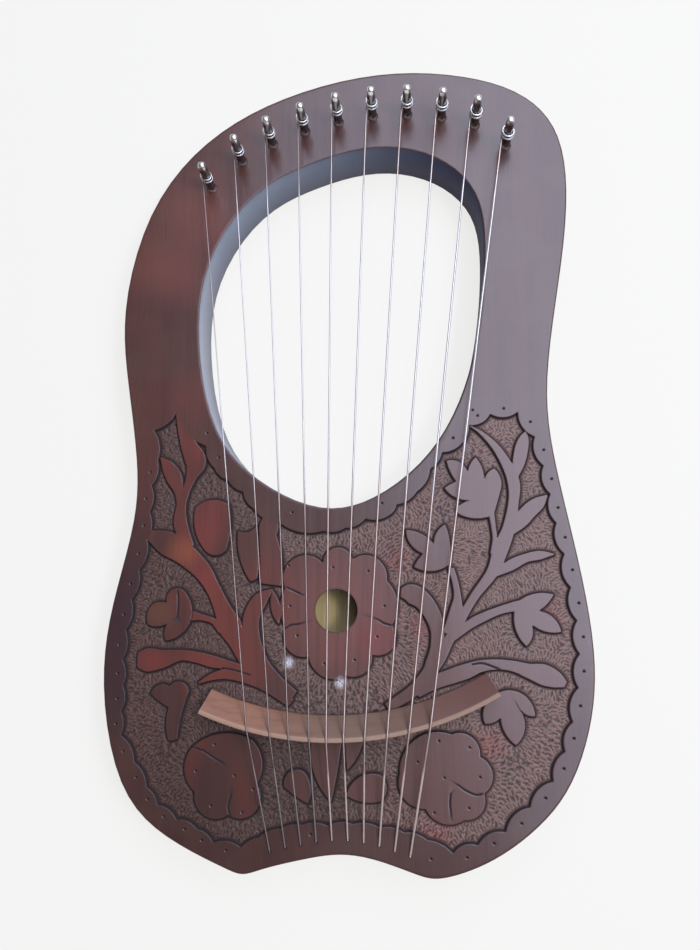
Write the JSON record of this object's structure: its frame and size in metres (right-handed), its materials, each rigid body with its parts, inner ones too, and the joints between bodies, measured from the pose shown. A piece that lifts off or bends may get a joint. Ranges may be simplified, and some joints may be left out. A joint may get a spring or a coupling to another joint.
{
  "type": "lyre harp",
  "caption": "Small lyre harp: carved rosewood body hollowed behind, sound hole, curved bridge, steel strings and tuning pins that turn in the yoke.",
  "frame": {"origin": "middle of the harp's outline, on the flat back it lies on", "axes": "+Z out of the face, +Y from the tail to the yoke, +X to the right as seen from the front"},
  "size_m": [0.2594, 0.448, 0.0555],
  "materials": {
    "rosewood": "dark reddish-brown rosewood, satin, with relief carving on the bowl's face",
    "pale_wood": "plain unfinished pale wood",
    "bridge_wood": "light brown close-grained wood, sanded, satin",
    "pin_steel": "nickel-plated steel, bright",
    "string_steel": "plain and wound steel music wire",
    "ball_brass": "turned brass"
  },
  "bodies": {
    "root": {"body": "rosewood", "back_plate": "pale_wood", "brace": "pale_wood", "bridge": "bridge_wood", "string_1": "string_steel", "string_2": "string_steel", "string_3": "string_steel", "string_4": "string_steel", "string_5": "string_steel", "string_6": "string_steel", "string_7": "string_steel", "string_8": "string_steel", "string_9": "string_steel", "string_10": "string_steel", "string_ball_1": "ball_brass", "string_ball_2": "ball_brass", "string_ball_3": "ball_brass", "string_ball_4": "ball_brass", "string_ball_5": "ball_brass", "string_ball_6": "ball_brass", "string_ball_7": "ball_brass", "string_ball_8": "ball_brass", "string_ball_9": "ball_brass", "string_ball_10": "ball_brass"},
    "pin_1": {"tuning_pin_1": "pin_steel"},
    "pin_2": {"tuning_pin_2": "pin_steel"},
    "pin_3": {"tuning_pin_3": "pin_steel"},
    "pin_4": {"tuning_pin_4": "pin_steel"},
    "pin_5": {"tuning_pin_5": "pin_steel"},
    "pin_6": {"tuning_pin_6": "pin_steel"},
    "pin_7": {"tuning_pin_7": "pin_steel"},
    "pin_8": {"tuning_pin_8": "pin_steel"},
    "pin_9": {"tuning_pin_9": "pin_steel"},
    "pin_10": {"tuning_pin_10": "pin_steel"}
  },
  "joints": [
    {"name": "pin_1_turn", "type": "hinge", "parent": "root", "child": "pin_1", "pos_m": [-0.07849, 0.15439, 0.0295], "axis": [0, 0, 1], "continuous": true},
    {"name": "pin_2_turn", "type": "hinge", "parent": "root", "child": "pin_2", "pos_m": [-0.06069, 0.17055, 0.0295], "axis": [0, 0, 1], "continuous": true},
    {"name": "pin_3_turn", "type": "hinge", "parent": "root", "child": "pin_3", "pos_m": [-0.0427, 0.18093, 0.0295], "axis": [0, 0, 1], "continuous": true},
    {"name": "pin_4_turn", "type": "hinge", "parent": "root", "child": "pin_4", "pos_m": [-0.02348, 0.18831, 0.0295], "axis": [0, 0, 1], "continuous": true},
    {"name": "pin_5_turn", "type": "hinge", "parent": "root", "child": "pin_5", "pos_m": [-0.00364, 0.1934, 0.0295], "axis": [0, 0, 1], "continuous": true},
    {"name": "pin_6_turn", "type": "hinge", "parent": "root", "child": "pin_6", "pos_m": [0.01656, 0.19618, 0.0295], "axis": [0, 0, 1], "continuous": true},
    {"name": "pin_7_turn", "type": "hinge", "parent": "root", "child": "pin_7", "pos_m": [0.03685, 0.1963, 0.0295], "axis": [0, 0, 1], "continuous": true},
    {"name": "pin_8_turn", "type": "hinge", "parent": "root", "child": "pin_8", "pos_m": [0.05684, 0.19353, 0.0295], "axis": [0, 0, 1], "continuous": true},
    {"name": "pin_9_turn", "type": "hinge", "parent": "root", "child": "pin_9", "pos_m": [0.07601, 0.18788, 0.0295], "axis": [0, 0, 1], "continuous": true},
    {"name": "pin_10_turn", "type": "hinge", "parent": "root", "child": "pin_10", "pos_m": [0.09345, 0.17404, 0.0295], "axis": [0, 0, 1], "continuous": true}
  ]
}
